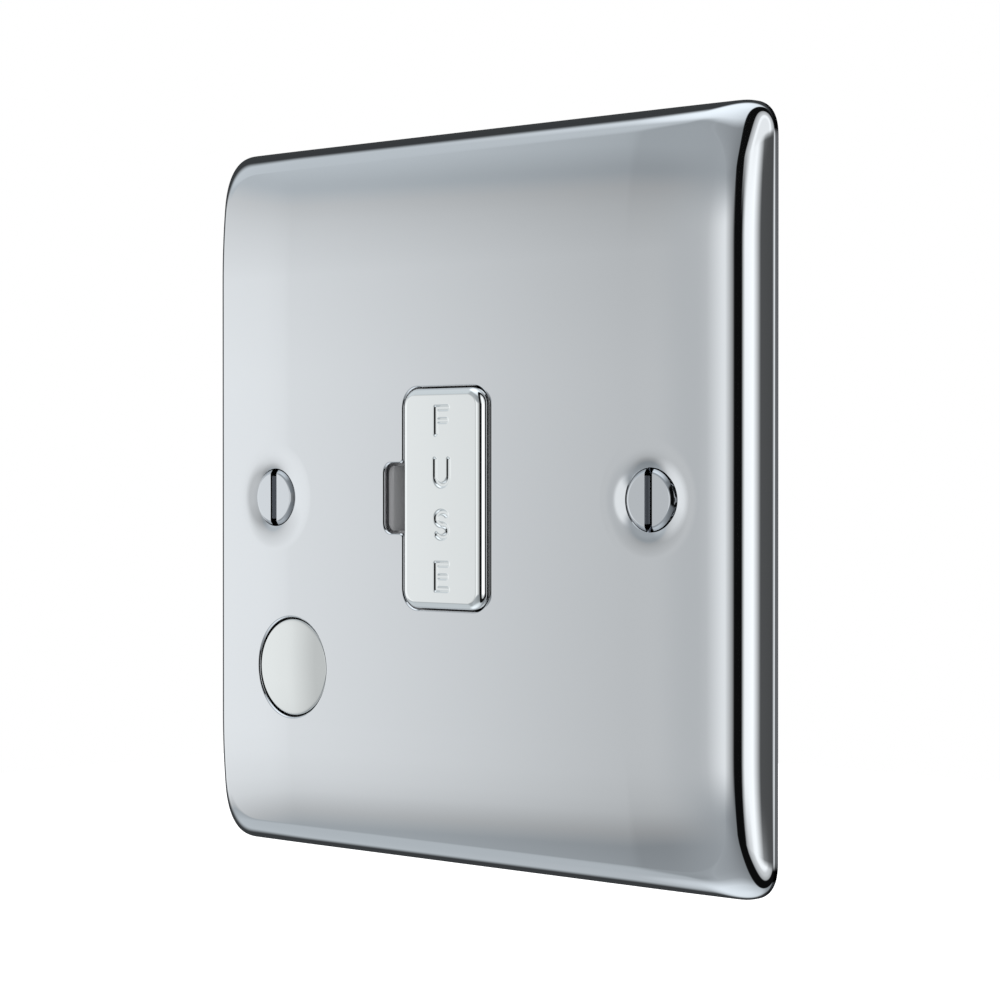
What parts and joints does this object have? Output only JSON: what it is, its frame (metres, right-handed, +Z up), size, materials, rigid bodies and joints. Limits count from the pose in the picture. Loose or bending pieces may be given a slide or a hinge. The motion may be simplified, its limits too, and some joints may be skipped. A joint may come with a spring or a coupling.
{
  "type": "fused spur unit",
  "caption": "Square polished metal wall plate with a pull-out cartridge fuse carrier, a blanked front cord outlet, slotted fixing screws and pillar terminals behind.",
  "frame": {"origin": "centre of the plate's back edge, in the plane of the wall", "axes": "+Z up, +X to the right seen from the front, +Y into the wall; the front faces -Y"},
  "size_m": [0.086, 0.0255, 0.086],
  "materials": {
    "plate_chrome": "polished",
    "cap_chrome": "polished",
    "plug_chrome": "polished",
    "screw_chrome": "polished",
    "grey_moulding": "fine moulded texture",
    "black_moulding": "fine moulded texture",
    "cover_moulding": "fine moulded texture",
    "fuse_body": "glazed",
    "cap_nickel": "nickel plated brass",
    "contact_brass": "bright",
    "block_brass": "machined",
    "terminal_steel": "zinc plated",
    "small_steel": "zinc plated"
  },
  "bodies": {
    "base": {"front_plate": "plate_chrome", "fixing_screws": "screw_chrome", "base_moulding": "grey_moulding", "rear_cover": "cover_moulding", "supply_clip": "contact_brass", "load_clip": "contact_brass", "neutral_link": "contact_brass", "earth_strap": "contact_brass", "live_supply_terminal": "block_brass", "live_load_terminal": "block_brass", "neutral_supply_terminal": "block_brass", "neutral_load_terminal": "block_brass", "earth_terminal": "block_brass", "terminal_screws": "terminal_steel", "cover_screws": "small_steel", "cord_clamp": "cover_moulding", "cord_clamp_screws": "small_steel", "plate_nuts": "small_steel"},
    "carrier": {"fuse_carrier": "black_moulding", "carrier_cap": "cap_chrome", "fuse_tube": "fuse_body", "fuse_cap_top": "cap_nickel", "fuse_cap_bottom": "cap_nickel"},
    "plug": {"flex_plug": "plug_chrome"}
  },
  "joints": [
    {"name": "carrier_slide", "type": "slide", "parent": "base", "child": "carrier", "axis": [0, -1, 0], "range_m": [0, 0.012]},
    {"name": "plug_slide", "type": "slide", "parent": "base", "child": "plug", "axis": [0, -1, 0], "range_m": [0, 0.008]}
  ]
}
